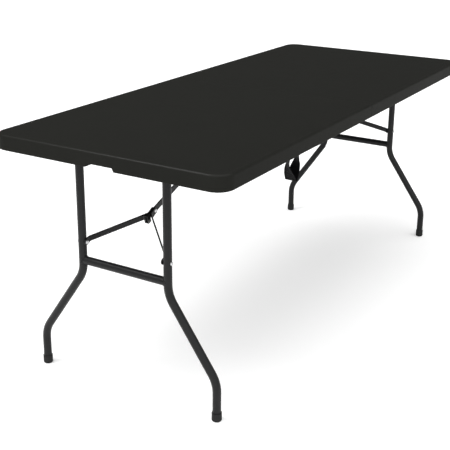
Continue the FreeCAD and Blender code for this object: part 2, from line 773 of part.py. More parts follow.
def brace(half, placement):
    """The folding brace: a fork from the legs, a strut to the plate and the lock ring."""
    joint = Vector(size("joint_x"), 0, size("joint_height"))
    rise = size("strut_fold_height") - size("joint_height")
    run = size("anchor_x") - size("joint_x")
    strut_slope = math.degrees(math.atan2(rise, run))
    on_fork = placement.multiply(Placement(joint, Rotation(Y_AXIS, -size("fork_slope"))))
    on_strut = placement.multiply(Placement(joint, Rotation(Y_AXIS, -strut_slope)))
    for side, sign in SIDES.items():
        computed(half + "_fork_" + side, fork_bar(sign), on_fork)

    rivets = []
    for side, sign in SIDES.items():
        tag = half + "_rivet_" + side
        shank_low = "fork_layer" if sign > 0 else "-fork_layer - bar_thickness"
        outer = "fork_layer + bar_thickness"
        head_low = outer if sign > 0 else "-(" + outer + ") - rivet_head_height"
        shank = rod(tag + "_shank", "0", shank_low, "0", "pin_radius", "bar_thickness", "y")
        head = rod(tag + "_head", "0", head_low, "0", "rivet_head_radius", "rivet_head_height",
                   "y")
        rivets.append(fuse(tag, [shank, head]))
    finish(group(half + "_rivet_set", rivets), half + "_fork_rivets", on_fork)

    tag = half + "_strut"
    start = "-strut_tail_length"
    bar_low = "-bar_thickness / 2"
    web = block(tag + "_web", start + " + bar_height / 2", bar_low, "-bar_height / 2",
                "strut_length + strut_tail_length - bar_height / 2", "bar_thickness",
                "bar_height")
    ends = [rod(tag + "_tail", start + " + bar_height / 2", bar_low, "0", "bar_height / 2",
                "bar_thickness", "y"),
            rod(tag + "_eye", "strut_length", bar_low, "0", "bar_height / 2", "bar_thickness",
                "y")]
    holes = [rod(tag + "_anchor_hole", "strut_length", bar_low, "0",
                 "pin_radius + running_clearance", "bar_thickness", "y"),
             rod(tag + "_joint_hole", "0", bar_low, "0", "pin_radius + running_clearance",
                 "bar_thickness", "y")]
    bar = cut(tag + "_bar", fuse(tag + "_solid", [web] + ends), holes)
    finish(bar, half + "_strut", on_strut)

    tag = half + "_ring"
    ring_low = "-ring_start - ring_length"
    outer = block(tag + "_outer", ring_low, "-ring_inner_half_width - ring_wall",
                  "-bar_height / 2 - ring_sag - ring_wall", "ring_length",
                  "2 * (ring_inner_half_width + ring_wall)",
                  "bar_height + ring_sag + 2 * ring_wall")
    inner = block(tag + "_inner", ring_low, "-ring_inner_half_width",
                  "-bar_height / 2 - ring_sag", "ring_length", "2 * ring_inner_half_width",
                  "bar_height + ring_sag")
    finish(cut(tag + "_band", outer, [inner]), half + "_lock_ring", on_strut)


for half_name, half_placement in HALF_TURN.items():
    cuts = pivot_blocks(half_name, half_placement)
    cuts += strut_anchor(half_name, half_placement)
    cuts += hinge_leaves(half_name, half_placement)
    if half_name == "near":
        cuts += carry_strap()
    finish(moulded_top(half_name, cuts), half_name + "_tabletop", half_placement)
    leg_frame(half_name, half_placement)
    brace(half_name, half_placement)
hinge_pins()
doc.recompute()

for item in doc.Objects:
    if "Invalid" in item.State or "Error" in item.State:
        raise RuntimeError("%s did not build: %s" % (item.Name, item.State))
for piece in finished:
    if piece.Shape.isNull() or not piece.Shape.isValid():
        raise RuntimeError(piece.Label + " has no valid shape")

os.makedirs("parts", exist_ok=True)
for piece in finished:
    piece.Shape.exportStep("parts/" + piece.Label + ".step")
    print("%-26s solids %d  volume %.1f cm3" % (piece.Label, len(piece.Shape.Solids),
                                               piece.Shape.Volume / 1000))
for alias in ("joint_x", "joint_height", "fork_length", "strut_length", "folded_joint_x"):
    print(alias, round(size(alias), 4))
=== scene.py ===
# %% [markdown]
# # Folding table
#
# The table's solid parts come from the CAD model. This lesson dresses them: it gives every
# part its finish, swaps the plain fasteners for shaped ones, weaves the carrying strap and
# lights the whole thing on a pale floor. Everything is in metres, X along the table and Z up.

# %% Load the frame
import json
import math

import bmesh
import bpy
from mathutils import Matrix, Vector

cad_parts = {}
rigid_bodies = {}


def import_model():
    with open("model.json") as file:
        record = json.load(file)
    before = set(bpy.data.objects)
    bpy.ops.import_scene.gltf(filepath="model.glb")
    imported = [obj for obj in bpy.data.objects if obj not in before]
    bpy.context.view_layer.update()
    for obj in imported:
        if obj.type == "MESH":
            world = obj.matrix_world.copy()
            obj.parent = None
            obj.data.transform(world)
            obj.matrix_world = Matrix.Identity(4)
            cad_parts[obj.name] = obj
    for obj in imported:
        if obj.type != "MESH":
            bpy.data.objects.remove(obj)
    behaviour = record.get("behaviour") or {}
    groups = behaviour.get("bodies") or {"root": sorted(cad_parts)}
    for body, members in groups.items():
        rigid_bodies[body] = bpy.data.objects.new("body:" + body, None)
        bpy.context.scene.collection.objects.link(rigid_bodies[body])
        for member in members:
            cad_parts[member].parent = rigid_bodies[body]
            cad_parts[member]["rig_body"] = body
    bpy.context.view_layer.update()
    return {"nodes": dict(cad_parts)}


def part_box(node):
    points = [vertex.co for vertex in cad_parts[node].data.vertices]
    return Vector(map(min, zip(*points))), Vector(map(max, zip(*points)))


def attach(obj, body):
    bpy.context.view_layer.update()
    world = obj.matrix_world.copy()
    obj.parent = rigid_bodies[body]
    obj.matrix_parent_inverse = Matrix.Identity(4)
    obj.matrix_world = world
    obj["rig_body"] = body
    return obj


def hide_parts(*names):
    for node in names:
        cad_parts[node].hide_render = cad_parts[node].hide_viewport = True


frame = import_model()
NODES = frame["nodes"]
print("parts from the CAD model:", len(NODES))

# %% [markdown]
# ## The camera
#
# The camera stands at chest height off the nearest corner, and looks across the table to its
# far end. It comes first, because everything after it is judged from here. The small
# vertical shift lets it tilt down a little less, so that upright lines lean less.

# %% Camera
CAMERA_PLACE = (-2.6105, -1.4027, 1.3717)
YAW, PITCH, ROLL = 30.959, 17.988, 0.488
FOCAL_LENGTH, SENSOR = 71.872, 36.0
VERTICAL_SHIFT = -0.1


def add_camera(place, yaw, pitch, roll):
    """A camera from its place and three angles in degrees."""
    lens = bpy.data.cameras.new("camera")
    lens.sensor_width = SENSOR
    lens.lens = FOCAL_LENGTH
    lens.shift_y = VERTICAL_SHIFT
    camera = bpy.data.objects.new("camera", lens)
    bpy.context.scene.collection.objects.link(camera)
    y, p = math.radians(yaw), math.radians(pitch)
    ahead = Vector((math.cos(p) * math.cos(y), math.cos(p) * math.sin(y), -math.sin(p)))
    side = ahead.cross(Vector((0, 0, 1))).normalized()
    up = side.cross(ahead)
    turn = Matrix.Rotation(-math.radians(roll), 3, ahead)
    camera.matrix_world = Matrix.Translation(place) @ (
        turn @ Matrix((side, up, -ahead)).transposed()).to_4x4()
    bpy.context.scene.camera = camera
    return camera


camera = add_camera(CAMERA_PLACE, YAW, PITCH, ROLL)
print("lens", round(camera.data.lens, 1), "mm")

# %% [markdown]
# ## The floor and the light
#
# A studio floor is a plain pale sheet, big enough that its edge is never seen. One very wide
# soft light from behind the camera lights it evenly and leaves faint shadows. A narrow strip
# at the side draws thin highlights down the tubes, and a high lamp beyond the near end draws
# one along the top's rounded edge. The surround is kept dim so that the black top doesn't
# mirror a white room and turn grey.

# %% Floor
FLOOR_HALF = 30.0
FLOOR_GREY, FLOOR_GLOW = 0.93, 0.22


def new_material(name):
    """A node material, with its node tree and its Principled shader."""
    material = bpy.data.materials.new(name)
    material.use_nodes = True
    tree = material.node_tree
    shader = tree.nodes["Principled BSDF"]
    return material, tree, shader


def square_mesh(name, half, level):
    """A flat square as a mesh object."""
    mesh = bpy.data.meshes.new(name)
    corners = [(-half, -half, level), (half, -half, level), (half, half, level), (-half, half, level)]
    mesh.from_pydata(corners, [], [(0, 1, 2, 3)])
    piece = bpy.data.objects.new(name, mesh)
    bpy.context.scene.collection.objects.link(piece)
    return piece


floor = square_mesh("floor", FLOOR_HALF, 0.0)
floor_paint, _, floor_shader = new_material("floor_paint")
floor_shader.inputs["Base Color"].default_value = (FLOOR_GREY, FLOOR_GREY, FLOOR_GREY, 1)
floor_shader.inputs["Roughness"].default_value = 0.9
floor_shader.inputs["Specular IOR Level"].default_value = 0.1
floor_shader.inputs["Emission Color"].default_value = (1, 1, 1, 1)
floor_shader.inputs["Emission Strength"].default_value = FLOOR_GLOW
floor.data.materials.append(floor_paint)
print("floor:", 2 * FLOOR_HALF, "m a side")

# %% Lights
ROOM_GREY = 0.16
DAYLIGHT = 3.8
DAYLIGHT_SPREAD = 120


def add_light(name, kind, place, target, energy):
    """A light of a kind that faces a target."""
    light = bpy.data.lights.new(name, kind)
    light.energy = energy
    piece = bpy.data.objects.new(name, light)
    bpy.context.scene.collection.objects.link(piece)
    piece.location = place
    aim = Vector(target) - Vector(place)
    piece.rotation_euler = aim.to_track_quat("-Z", "Y").to_euler()
    return light


world = bpy.data.worlds.new("room")
world.use_nodes = True
world.node_tree.nodes["Background"].inputs["Color"].default_value = (1, 1, 1, 1)
world.node_tree.nodes["Background"].inputs["Strength"].default_value = ROOM_GREY
bpy.context.scene.world = world
daylight = add_light("soft_daylight", "SUN", (-2.4, -1.8, 5.0), (0, 0, 0), DAYLIGHT)
daylight.angle = math.radians(DAYLIGHT_SPREAD)
strip = add_light("side_strip", "AREA", (1.6, -3.9, 1.7), (0.5, 0, 0.4), 9)
strip.shape = "RECTANGLE"
strip.size, strip.size_y = 0.5, 2.4
edge_lamp = add_light("edge_light", "AREA", (-2.2, 1.8, 4.0), (-0.9, 0, 0.73), 75)
edge_lamp.size = 1.6
bpy.context.scene.view_settings.view_transform = "Standard"

# %% [markdown]
# ## Shared shader effects
#
# Moulded plastic, powder coat and rubber all have a fine random grain. It could be a set of
# nodes inside every material, but it is made once, as a node group that puts out only a
# height and a mask, so that each finish can read it at its own scale. The finishes give it
# Object coordinates, so the grain's size is a real length.

# %% Node group helpers


def new_group(name, inputs, outputs):
    """A shader node group with float or vector inputs and float outputs."""
    group = bpy.data.node_groups.new(name, "ShaderNodeTree")
    for label, kind, value in inputs:
        socket = group.interface.new_socket(label, in_out="INPUT", socket_type=kind)
        if value is not None:
            socket.default_value = value
    for label, kind in outputs:
        group.interface.new_socket(label, in_out="OUTPUT", socket_type=kind)
    return group, group.nodes.new("NodeGroupInput"), group.nodes.new("NodeGroupOutput")


def add_node(tree, kind, **settings):
    """A node with its settings; a setting named in_0 sets input 0's value."""
    node = tree.nodes.new(kind)
    for name, value in settings.items():
        if name.startswith("in_"):
            node.inputs[int(name[3:])].default_value = value
        else:
            setattr(node, name, value)
    return node


# %% Grain group
SPECK_SHARE = 0.6
GRAIN, grain_in, grain_out = new_group(
    "fine_grain",
    [("Vector", "NodeSocketVector", None), ("Grain size", "NodeSocketFloat", 0.0012),
     ("Patch size", "NodeSocketFloat", 0.05)],
    [("Height", "NodeSocketFloat"), ("Patches", "NodeSocketFloat")])
grain_scale = add_node(GRAIN, "ShaderNodeMath", operation="DIVIDE", in_0=1.0)
patch_scale = add_node(GRAIN, "ShaderNodeMath", operation="DIVIDE", in_0=1.0)
pebbles = add_node(GRAIN, "ShaderNodeTexVoronoi", feature="SMOOTH_F1")
pebbles.inputs["Smoothness"].default_value = 0.6
specks = add_node(GRAIN, "ShaderNodeTexNoise")
specks.inputs["Detail"].default_value = 2.0
patches = add_node(GRAIN, "ShaderNodeTexNoise")
patches.inputs["Detail"].default_value = 3.0
relief = add_node(GRAIN, "ShaderNodeMath", operation="MULTIPLY_ADD", in_1=SPECK_SHARE)
GRAIN.links.new(grain_in.outputs["Grain size"], grain_scale.inputs[1])
GRAIN.links.new(grain_in.outputs["Patch size"], patch_scale.inputs[1])
for texture, scale in ((pebbles, grain_scale), (specks, grain_scale), (patches, patch_scale)):
    GRAIN.links.new(grain_in.outputs["Vector"], texture.inputs["Vector"])
    GRAIN.links.new(scale.outputs[0], texture.inputs["Scale"])
GRAIN.links.new(specks.outputs[0], relief.inputs[0])
GRAIN.links.new(pebbles.outputs["Distance"], relief.inputs[2])
GRAIN.links.new(relief.outputs[0], grain_out.inputs["Height"])
GRAIN.links.new(patches.outputs[0], grain_out.inputs["Patches"])
print("node group:", GRAIN.name)

# %% [markdown]
# ## Finishes for the hard parts
#
# The top is grained plastic, the frame is powder coated, the feet are rubber, and the plates
# and fasteners are zinc plated. Each finish is one Principled shader. The grain's height goes
# to a Bump node, the slow patches mix two near colours and vary the roughness, and everything
# that is the same all over, such as the specular level, is set on the shader's own socket.

# %% Finish maker


def mix_colours(tree, shader, mask, dark, pale):
    """Mixes two colours by a mask and gives the result to the shader."""
    colour = add_node(tree, "ShaderNodeMix", data_type="RGBA")
    colour.inputs["A"].default_value = (*dark, 1)
    colour.inputs["B"].default_value = (*pale, 1)
    tree.links.new(mask, colour.inputs["Factor"])
    tree.links.new(colour.outputs["Result"], shader.inputs["Base Color"])


def add_relief(tree, shader, height, strength, depth):
    """Gives the shader a bump from a height, with its full depth in metres."""
    relief = add_node(tree, "ShaderNodeBump")
    relief.inputs["Strength"].default_value = strength
    relief.inputs["Distance"].default_value = depth
    tree.links.new(height, relief.inputs["Height"])
    tree.links.new(relief.outputs["Normal"], shader.inputs["Normal"])


def grained_finish(name, dark, pale, rough, grain, patch, bump, specular=0.5, metallic=0.0):
    """A finish with a fine grain, two mixed colours and a range of roughness."""
    material, tree, shader = new_material(name)
    place = add_node(tree, "ShaderNodeTexCoord")
    texture = add_node(tree, "ShaderNodeGroup", node_tree=GRAIN)
    texture.inputs["Grain size"].default_value = grain
    texture.inputs["Patch size"].default_value = patch
    tree.links.new(place.outputs["Object"], texture.inputs["Vector"])
    mix_colours(tree, shader, texture.outputs["Patches"], dark, pale)
    spread = add_node(tree, "ShaderNodeMapRange")
    spread.inputs["To Min"].default_value, spread.inputs["To Max"].default_value = rough
    tree.links.new(texture.outputs["Patches"], spread.inputs["Value"])
    tree.links.new(spread.outputs["Result"], shader.inputs["Roughness"])
    add_relief(tree, shader, texture.outputs["Height"], bump, grain / 4)
    shader.inputs["Specular IOR Level"].default_value = specular
    shader.inputs["Metallic"].default_value = metallic
    return material


# %% Finishes
FINISH = {
    "moulded_top": grained_finish("grained_polyethylene", (0.0124, 0.0126, 0.0112),
                                  (0.0154, 0.0156, 0.0138), (0.40, 0.50), 0.0011, 0.12, 0.35,
                                  specular=0.012),
    "pivot_plastic": grained_finish("moulded_nylon", (0.010, 0.010, 0.010), (0.018, 0.018, 0.018),
                                    (0.42, 0.55), 0.0008, 0.02, 0.25, specular=0.3),
    "foot_rubber": grained_finish("foot_rubber", (0.006, 0.006, 0.006), (0.012, 0.012, 0.012),
                                  (0.6, 0.8), 0.0007, 0.02, 0.4, specular=0.25),
    "frame_coat": grained_finish("hammered_powder_coat", (0.006, 0.006, 0.0063),
                                 (0.011, 0.011, 0.0114), (0.26, 0.40), 0.0026, 0.01, 0.8,
                                 specular=0.18),
    "brace_coat": grained_finish("brace_powder_coat", (0.005, 0.005, 0.0053),
                                 (0.009, 0.009, 0.0094), (0.3, 0.45), 0.0018, 0.01, 0.6,
                                 specular=0.18),
    "ring_black": grained_finish("black_ring_coat", (0.004, 0.004, 0.004), (0.007, 0.007, 0.007),
                                 (0.3, 0.4), 0.001, 0.01, 0.3),
    "zinc_plate": grained_finish("zinc_sheet", (0.32, 0.32, 0.33), (0.46, 0.46, 0.46),
                                 (0.28, 0.45), 0.0012, 0.008, 0.2, metallic=1.0),
    "zinc_fastener": grained_finish("zinc_fastener", (0.45, 0.45, 0.46), (0.62, 0.62, 0.62),
                                    (0.22, 0.36), 0.0008, 0.004, 0.15, metallic=1.0),
}
print("finishes:", sorted(FINISH))

# %% [markdown]
# ## The polished edge
#
# The top's outer edge is rounded, and it shows a thin bright line. It is taken to be a little
# smoother than the grained faces, as hands and sleeves would rub it. A paler colour would look
# painted on from any other side. A thin gloss coat is better, because the lights themselves
# then draw the line. The round lies between the flat top and one edge radius below it, so the
# height alone tells where the coat goes.

# %% Polished edge
TOP_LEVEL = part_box("near_tabletop")[1].z
EDGE_RADIUS = 0.008
COAT_BEGINS, COAT_FULL, COAT_FADES, COAT_ENDS = 0.35, 0.6, 0.9, 0.985


def polish_edge(material, most, rough):
    """Gives the rounded top edge a gloss coat, by the share of the edge radius climbed."""
    tree = material.node_tree
    shader = tree.nodes["Principled BSDF"]
    place = add_node(tree, "ShaderNodeTexCoord")
    parts = add_node(tree, "ShaderNodeSeparateXYZ")
    climb = add_node(tree, "ShaderNodeMapRange")
    climb.inputs["From Min"].default_value = TOP_LEVEL - EDGE_RADIUS
    climb.inputs["From Max"].default_value = TOP_LEVEL
    coat = add_node(tree, "ShaderNodeValToRGB")
    stops = coat.color_ramp.elements
    stops[0].position, stops[0].color = COAT_BEGINS, (0, 0, 0, 1)
    stops[1].position, stops[1].color = COAT_ENDS, (0, 0, 0, 1)
    for share in (COAT_FULL, COAT_FADES):
        stops.new(share).color = (most, most, most, 1)
    tree.links.new(place.outputs["Object"], parts.inputs[0])
    tree.links.new(parts.outputs["Z"], climb.inputs["Value"])
    tree.links.new(climb.outputs["Result"], coat.inputs["Fac"])
    tree.links.new(coat.outputs["Color"], shader.inputs["Coat Weight"])
    shader.inputs["Coat Roughness"].default_value = rough


polish_edge(FINISH["moulded_top"], most=0.12, rough=0.25)
print("coat from", round(TOP_LEVEL - EDGE_RADIUS * (1 - COAT_BEGINS), 4), "m up")

# %% [markdown]
# ## Paint the parts
#
# Every CAD part arrives with a plain material that is named after its finish. Each could be
# painted by its own line, but putting the finish of the same name in the slot dresses them in
# one loop, and leaves their shapes alone. Only the strap waits, as its webbing is woven later.

# %% Paint the CAD parts
painted = 0
for part in NODES.values():
    for holder in part.material_slots:
        key = holder.material.name.split(".")[0]
        if key in FINISH:
            holder.material = FINISH[key]
            painted += 1
print("parts painted:", painted)

# %% [markdown]
# ## Shaped fasteners
#
# The CAD model has plain drums for the screw, bolt and rivet heads. On a table of this kind
# the screws are pan heads with a cross recess, and the rivets, bolts and nuts are domed. One
# head of each kind is modelled at the origin, looking up. Each seat could get its own
# model, but Geometry Nodes set a copy on every seat and turn each one by a random amount, as
# driven screws end up.

# %% Read the seats


def solids_of(name):
    """The lowest and highest corners of each separate solid in a CAD part."""
    shape = bmesh.new()
    shape.from_mesh(NODES[name].data)
    bmesh.ops.remove_doubles(shape, verts=shape.verts, dist=1e-6)
    boxes = []
    waiting = set(shape.verts)
    while waiting:
        front = [waiting.pop()]
        island = list(front)
        while front:
            for edge in front.pop().link_edges:
                for other in edge.verts:
                    if other in waiting:
                        waiting.remove(other)
                        front.append(other)
                        island.append(other)
        low = Vector(min(v.co[i] for v in island) for i in range(3))
        high = Vector(max(v.co[i] for v in island) for i in range(3))
        boxes.append((low, high))
    shape.free()
    return sorted(boxes, key=lambda box: tuple(box[0]))


for name in ("near_pivot_screws", "near_fork_bolts", "near_fork_rivets", "near_fork_nuts"):
    print(name, "has", len(solids_of(name)), "solids")

# %% Head shapes
HEAD_SIDES = 24
PAN_HEIGHT, RIVET_HEIGHT, BOLT_HEIGHT = 0.0022, 0.002, 0.0035


def link_mesh(name, mesh):
    """A new object for a mesh, at the origin."""
    piece = bpy.data.objects.new(name, mesh)
    bpy.context.scene.collection.objects.link(piece)
    return piece


def shade_by_angle(mesh, degrees):
    """Smooth shading that keeps edges sharper than an angle."""
    for face in mesh.polygons:
        face.use_smooth = True
    mesh.set_sharp_from_angle(angle=math.radians(degrees))


def cross_head(name, radius, height):
    """A domed pan head whose cross recess is pushed into a rounded grid."""
    arm, reach, ring, depth = 0.13, 0.52, 0.78, 0.55 * height
    side_wall, roundness = 0.35, 0.85
    lines = [-1, -ring, -reach, -arm, arm, reach, ring, 1]
    shape = bmesh.new()
    grid = {}
    for i, u in enumerate(lines):
        for j, v in enumerate(lines):
            x = u * math.sqrt(1 - v * v / 2)
            y = v * math.sqrt(1 - u * u / 2)
            dome = math.sqrt(1 - roundness * (x * x + y * y))
            rise = height * (side_wall + (1 - side_wall) * dome)
            grid[i, j] = shape.verts.new((radius * x, radius * y, rise))
    last = len(lines) - 1
    recess = []
    for i in range(last):
        for j in range(last):
            face = shape.faces.new((grid[i, j], grid[i + 1, j], grid[i + 1, j + 1],
                                    grid[i, j + 1]))
            # the cross is the middle three cells of the middle row and column
            if (i == 3 and 2 <= j <= 4) or (j == 3 and 2 <= i <= 4):
                recess.append(face)
    rim = [edge for edge in shape.edges if edge.is_boundary]
    skirt = bmesh.ops.extrude_edge_only(shape, edges=rim)["geom"]
    for vertex in (part for part in skirt if isinstance(part, bmesh.types.BMVert)):
        vertex.co.z = 0.0
    bmesh.ops.holes_fill(shape, edges=[edge for edge in shape.edges if edge.is_boundary])
    sunk = bmesh.ops.extrude_face_region(shape, geom=recess)["geom"]
    bmesh.ops.delete(shape, geom=recess, context="FACES_ONLY")
    for vertex in {part for part in sunk if isinstance(part, bmesh.types.BMVert)}:
        vertex.co.z = height - depth
    bmesh.ops.recalc_face_normals(shape, faces=shape.faces)
    mesh = bpy.data.meshes.new(name)
    shape.to_mesh(mesh)
    shape.free()
    shade_by_angle(mesh, 40)
    return link_mesh(name, mesh)


def turned_head(name, outline):
    """A head turned from (radius, height) points, from the seat's edge to the top."""
    shape = bmesh.new()
    turns = [2 * math.pi * k / HEAD_SIDES for k in range(HEAD_SIDES)]
    rings = [[shape.verts.new((radius * math.cos(turn), radius * math.sin(turn), height))
              for turn in turns] for radius, height in outline[:-1]]
    crown = shape.verts.new((0, 0, outline[-1][1]))
    for lower, upper in zip(rings, rings[1:]):
        for k in range(HEAD_SIDES):
            after = (k + 1) % HEAD_SIDES
            shape.faces.new((lower[k], lower[after], upper[after], upper[k]))
    for k in range(HEAD_SIDES):
        shape.faces.new((rings[-1][k], rings[-1][(k + 1) % HEAD_SIDES], crown))
    shape.faces.new(list(reversed(rings[0])))
    mesh = bpy.data.meshes.new(name)
    shape.to_mesh(mesh)
    shape.free()
    shade_by_angle(mesh, 35)
    return link_mesh(name, mesh)


def dome_outline(radius, height, skirt):
    """An outline with a straight skirt and a round top."""
    steps = 6
    arc = [(radius * math.cos(math.pi / 2 * k / steps),
            skirt + (height - skirt) * math.sin(math.pi / 2 * k / steps))
           for k in range(steps + 1)]
    return [(radius, 0.0)] + arc


PAN = cross_head("pan_head", 0.0042, PAN_HEIGHT)
RIVET = turned_head("rivet_head", dome_outline(0.0055, RIVET_HEIGHT, 0.0003))
BOLT = turned_head("bolt_head", dome_outline(0.006, BOLT_HEIGHT, 0.0008))
NUT = turned_head("cap_nut", [(0.0055, 0.0), (0.0055, 0.0017), (0.0046, 0.0019)]
                  + dome_outline(0.0046, BOLT_HEIGHT, 0.002)[2:])
print("heads:", [head.name for head in (PAN, RIVET, BOLT, NUT)])

# %% [markdown]
# The tree below takes loose points, each with a `facing` direction, and stands a head and a
# plain shank on every one. A point's own number seeds its turn, so the result is the same on
# every run. The last two nodes make the copies real and give them their finish.

# %% Fastener tree


def new_geometry_tree(name, inputs):
    """A Geometry Nodes tree with a geometry in and out, and named inputs."""
    tree = bpy.data.node_groups.new(name, "GeometryNodeTree")
    tree.interface.new_socket("Geometry", in_out="INPUT", socket_type="NodeSocketGeometry")
    for label, kind in inputs:
        tree.interface.new_socket(label, in_out="INPUT", socket_type=kind)
    tree.interface.new_socket("Geometry", in_out="OUTPUT", socket_type="NodeSocketGeometry")
    return tree, tree.nodes.new("NodeGroupInput"), tree.nodes.new("NodeGroupOutput")


def end_tree(tree, group_in, group_out, geometry):
    """Ends a tree: copies made real, then the finish."""
    real = add_node(tree, "GeometryNodeRealizeInstances")
    paint = add_node(tree, "GeometryNodeSetMaterial")
    tree.links.new(geometry, real.inputs[0])
    tree.links.new(real.outputs[0], paint.inputs["Geometry"])
    tree.links.new(group_in.outputs["Finish"], paint.inputs["Material"])
    tree.links.new(paint.outputs[0], group_out.inputs[0])


FASTENERS, seats_in, seats_out = new_geometry_tree("fasteners_on_seats", [
    ("Head", "NodeSocketObject"), ("Shank radius", "NodeSocketFloat"),
    ("Shank length", "NodeSocketFloat"), ("Seed", "NodeSocketInt"),
    ("Finish", "NodeSocketMaterial")])
link = FASTENERS.links.new
head = add_node(FASTENERS, "GeometryNodeObjectInfo")
shank = add_node(FASTENERS, "GeometryNodeMeshCylinder")
shank.inputs["Vertices"].default_value = 16
below = add_node(FASTENERS, "ShaderNodeMath", operation="MULTIPLY", in_1=-0.5)
offset = add_node(FASTENERS, "ShaderNodeCombineXYZ")
lowered = add_node(FASTENERS, "GeometryNodeTransform")
whole = add_node(FASTENERS, "GeometryNodeJoinGeometry")
link(seats_in.outputs["Head"], head.inputs["Object"])
link(seats_in.outputs["Shank radius"], shank.inputs["Radius"])
link(seats_in.outputs["Shank length"], shank.inputs["Depth"])
link(seats_in.outputs["Shank length"], below.inputs[0])
link(below.outputs[0], offset.inputs["Z"])
link(shank.outputs["Mesh"], lowered.inputs["Geometry"])
link(offset.outputs[0], lowered.inputs["Translation"])
link(head.outputs["Geometry"], whole.inputs[0])
link(lowered.outputs["Geometry"], whole.inputs[0])
facing = add_node(FASTENERS, "GeometryNodeInputNamedAttribute", data_type="FLOAT_VECTOR")
facing.inputs["Name"].default_value = "facing"
upright = add_node(FASTENERS, "FunctionNodeAlignRotationToVector", axis="Z")
driven = add_node(FASTENERS, "FunctionNodeRandomValue", data_type="FLOAT")
driven.inputs[3].default_value = 2 * math.pi  # socket 3 is the most that a number may be
spin = add_node(FASTENERS, "FunctionNodeAxisAngleToRotation")
turned = add_node(FASTENERS, "FunctionNodeRotateRotation", rotation_space="LOCAL")
copies = add_node(FASTENERS, "GeometryNodeInstanceOnPoints")
link(facing.outputs["Attribute"], upright.inputs["Vector"])
link(seats_in.outputs["Seed"], driven.inputs["Seed"])
link(driven.outputs[1], spin.inputs["Angle"])
link(upright.outputs[0], turned.inputs["Rotation"])
link(spin.outputs[0], turned.inputs["Rotate By"])
link(seats_in.outputs["Geometry"], copies.inputs["Points"])
link(whole.outputs[0], copies.inputs["Instance"])
link(turned.outputs[0], copies.inputs["Rotation"])
end_tree(FASTENERS, seats_in, seats_out, copies.outputs[0])
print("tree:", FASTENERS.name)

# %% Run a tree


def grown(source, tree, values):
    """Runs a Geometry Nodes tree on an object and keeps the result as a plain mesh."""
    modifier = source.modifiers.new("grow", "NODES")
    modifier.node_group = tree
    for item in tree.interface.items_tree:
        if item.in_out == "INPUT" and item.name in values:
            modifier[item.identifier] = values[item.name]
    graph = bpy.context.evaluated_depsgraph_get()
    mesh = bpy.data.meshes.new_from_object(source.evaluated_get(graph))
    source.modifiers.remove(modifier)
    old = source.data
    source.data = mesh
    bpy.data.meshes.remove(old)
    mesh.name = source.name
    return source


def fit_fasteners(name, head, shank_radius, seats, seed):
    """Swaps a CAD part's drums for shaped heads on the same seats."""
    mesh = bpy.data.meshes.new(name + "_shaped")
    mesh.from_pydata([point for point, direction, length in seats], [], [])
    directions = mesh.attributes.new("facing", "FLOAT_VECTOR", "POINT")
    directions.data.foreach_set("vector", [c for seat in seats for c in seat[1]])
    piece = grown(link_mesh(name + "_shaped", mesh), FASTENERS, {
        "Head": head, "Shank radius": shank_radius, "Shank length": seats[0][2],
        "Seed": seed, "Finish": FINISH["zinc_fastener"]})
    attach(piece, NODES[name]["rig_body"])
    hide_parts(name)
    return piece


# %% Seats from the CAD solids
DOWN, BACK = Vector((0, 0, -1)), Vector((0, 1, 0))
SCREW_RADIUS, PIN_RADIUS = 0.002, 0.003


def middle_of(low, high):
    """The middle of a box."""
    return (low + high) / 2


def screw_seats(name, head_height):
    """Seats of screws driven upwards, with their heads looking down."""
    seats = []
    for low, high in solids_of(name):
        middle = middle_of(low, high)
        seats.append((Vector((middle.x, middle.y, low.z + head_height)), DOWN,
                      high.z - low.z - head_height))
    return seats


def side_seats(name, head_height, outward, shank):
    """Seats of fasteners across the table, heads outwards or towards the middle."""
    seats = []
    for low, high in solids_of(name):
        middle = middle_of(low, high)
        sign = math.copysign(1.0, middle.y) * (1 if outward else -1)
        tip = high.y if sign > 0 else low.y
        seats.append((Vector((middle.x, tip - sign * head_height, middle.z)), BACK * sign, shank))
    return seats


def rim_screw_seats(name, head_height):
    """Seats of screws driven outwards into the long rim, with their heads looking inwards."""
    seats = []
    for low, high in solids_of(name):
        middle = middle_of(low, high)
        seats.append((Vector((middle.x, high.y - head_height, middle.z)), BACK,
                      high.y - low.y - head_height))
    return seats


def pin_seats(name, head_height):
    """Two seats for a pin with a head at each end."""
    low, high = solids_of(name)[0]
    middle = middle_of(low, high)
    shank = (high.y - low.y) / 2 - head_height
    return [(Vector((middle.x, high.y - head_height, middle.z)), BACK, shank),
            (Vector((middle.x, low.y + head_height, middle.z)), -BACK, shank)]


# %% Fit every fastener
count = 0
for half in ("near", "far"):
    for name in ("pivot_screws", "bracket_screws", "hinge_screws"):
        seats = screw_seats(half + "_" + name, PAN_HEIGHT)
        fit_fasteners(half + "_" + name, PAN, SCREW_RADIUS, seats, count + 1)
        count += len(seats)
    for name, head, height, outward, shank in (
            ("fork_rivets", RIVET, RIVET_HEIGHT, True, 0.004),
            ("fork_bolts", BOLT, BOLT_HEIGHT, False, 0.030),
            ("fork_nuts", NUT, BOLT_HEIGHT, True, 0.0005)):
        seats = side_seats(half + "_" + name, height, outward, shank)
        fit_fasteners(half + "_" + name, head, PIN_RADIUS, seats, count + 1)
        count += len(seats)
    seats = pin_seats(half + "_strut_pin", RIVET_HEIGHT)
    fit_fasteners(half + "_strut_pin", RIVET, PIN_RADIUS, seats, count + 1)
    count += len(seats)
seats = rim_screw_seats("strap_screws", PAN_HEIGHT)
fit_fasteners("strap_screws", PAN, SCREW_RADIUS, seats, count + 1)
count += len(seats)
for head in (PAN, RIVET, BOLT, NUT):
    bpy.data.objects.remove(head)
print("heads set:", count)

